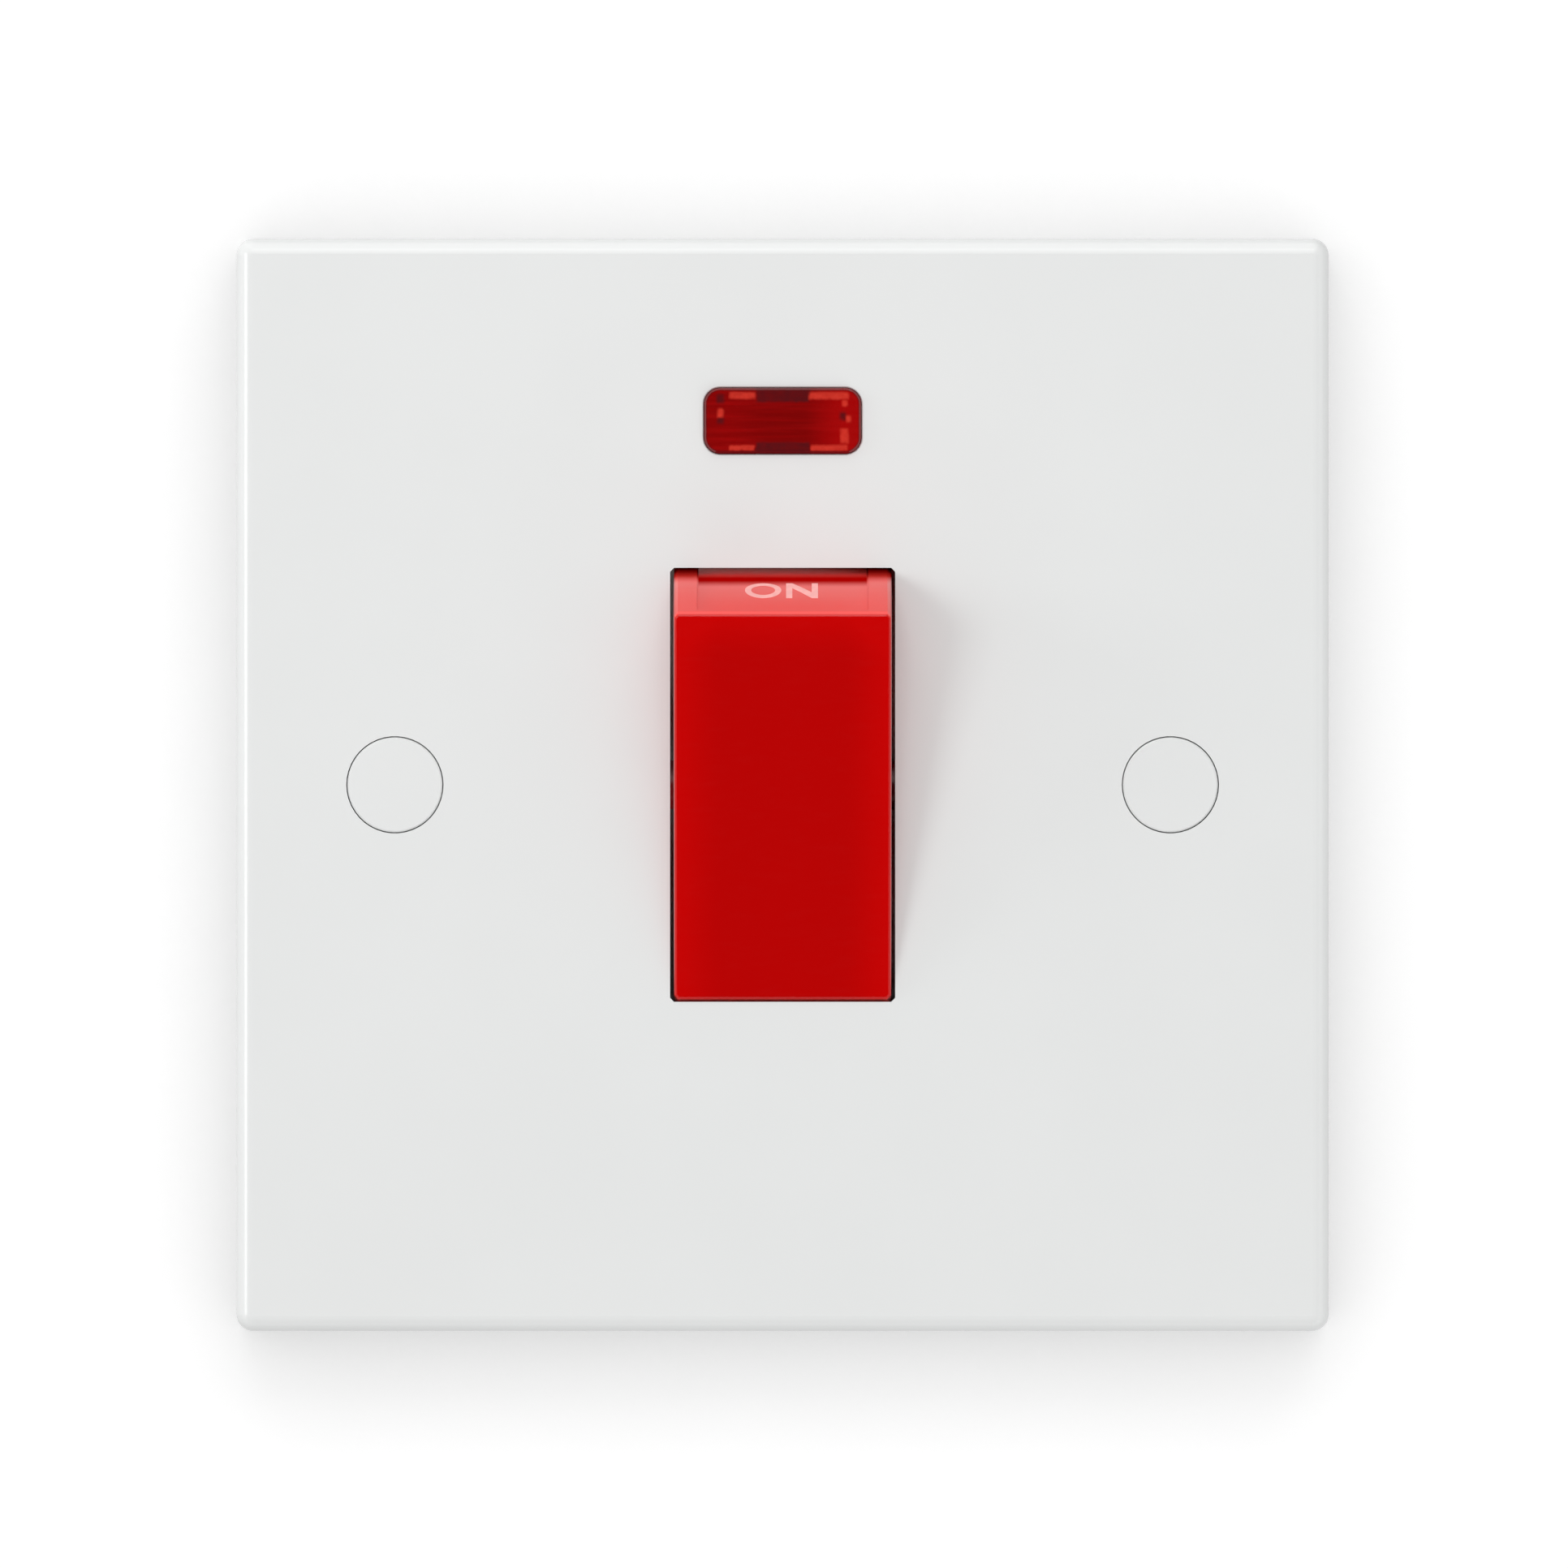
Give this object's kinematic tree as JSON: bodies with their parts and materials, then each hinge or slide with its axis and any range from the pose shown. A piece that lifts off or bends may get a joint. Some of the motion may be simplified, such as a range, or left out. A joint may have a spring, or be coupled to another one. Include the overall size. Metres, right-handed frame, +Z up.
{
  "type": "double pole switch",
  "caption": "Square white wall plate with a tilting red rocker that opens and closes two poles, a red neon indicator above it and covered fixing holes.",
  "frame": {"origin": "middle between the two fixing holes, on the plate's rear plane, which lies on the wall", "axes": "+X to the right seen from the front, +Y into the wall, +Z up"},
  "size_m": [0.085, 0.0385, 0.085],
  "materials": {
    "plate_plastic": "satin gloss white",
    "cap_plastic": "satin gloss white",
    "rocker_red": "gloss red",
    "lens_red": "clear red",
    "frame_plastic": "moulded off white",
    "base_plastic": "moulded off white",
    "holder_plastic": "moulded white",
    "plunger_plastic": "natural",
    "terminal_brass": "drawn",
    "arm_copper": "rolled copper",
    "contact_silver": "silver",
    "screw_steel": "zinc plated",
    "clamp_steel": "plated",
    "spring_steel": "spring wire",
    "wire_nickel": "nickel",
    "bulb_glass": "clear",
    "resistor_body": "lacquered",
    "lead_insulation": "sleeved"
  },
  "bodies": {
    "switch_body": {"front_plate": "plate_plastic", "screw_caps": "cap_plastic", "mechanism_frame": "frame_plastic", "mechanism_base": "base_plastic", "housing_screws": "screw_steel", "terminal_screws": "clamp_steel", "line_load_terminal": "terminal_brass", "line_supply_terminal": "terminal_brass", "neutral_load_terminal": "terminal_brass", "neutral_supply_terminal": "terminal_brass", "line_fixed_contact": "contact_silver", "neutral_fixed_contact": "contact_silver", "neon_lens": "lens_red", "neon_bulb": "bulb_glass", "neon_electrodes": "wire_nickel", "neon_holder": "holder_plastic", "neon_resistor": "resistor_body", "neon_resistor_lead": "lead_insulation", "line_neon_lead": "lead_insulation", "neutral_neon_lead": "lead_insulation"},
    "rocker": {"rocker": "rocker_red", "line_spring": "spring_steel", "neutral_spring": "spring_steel"},
    "line_plunger": {"line_plunger": "plunger_plastic"},
    "line_contact": {"line_contact_arm": "arm_copper", "line_moving_contact": "contact_silver"},
    "neutral_plunger": {"neutral_plunger": "plunger_plastic"},
    "neutral_contact": {"neutral_contact_arm": "arm_copper", "neutral_moving_contact": "contact_silver"}
  },
  "joints": [
    {"name": "rocker_tilt", "type": "hinge", "parent": "switch_body", "child": "rocker", "pos_m": [0, -0.0032, 0], "axis": [1, 0, 0], "range_deg": [-24, 0]},
    {"name": "line_plunger_slide", "type": "slide", "parent": "rocker", "child": "line_plunger", "axis": [0, -0.9781, -0.2079], "range_m": [0, 0.0008], "stiffness_N_per_m": 800, "springref_m": -0.003, "deforming": ["line_spring"]},
    {"name": "line_contact_tilt", "type": "hinge", "parent": "switch_body", "child": "line_contact", "pos_m": [0.005, 0.01027, 0], "axis": [1, 0, 0], "range_deg": [0, 17]},
    {"name": "neutral_plunger_slide", "type": "slide", "parent": "rocker", "child": "neutral_plunger", "axis": [0, -0.9781, -0.2079], "range_m": [0, 0.0008], "stiffness_N_per_m": 800, "springref_m": -0.003, "deforming": ["neutral_spring"]},
    {"name": "neutral_contact_tilt", "type": "hinge", "parent": "switch_body", "child": "neutral_contact", "pos_m": [-0.005, 0.01027, 0], "axis": [1, 0, 0], "range_deg": [0, 17]}
  ],
  "couplings": [
    {"joint": "line_contact_tilt", "follows": "rocker_tilt", "ratio": -0.70833},
    {"joint": "neutral_contact_tilt", "follows": "rocker_tilt", "ratio": -0.70833}
  ]
}
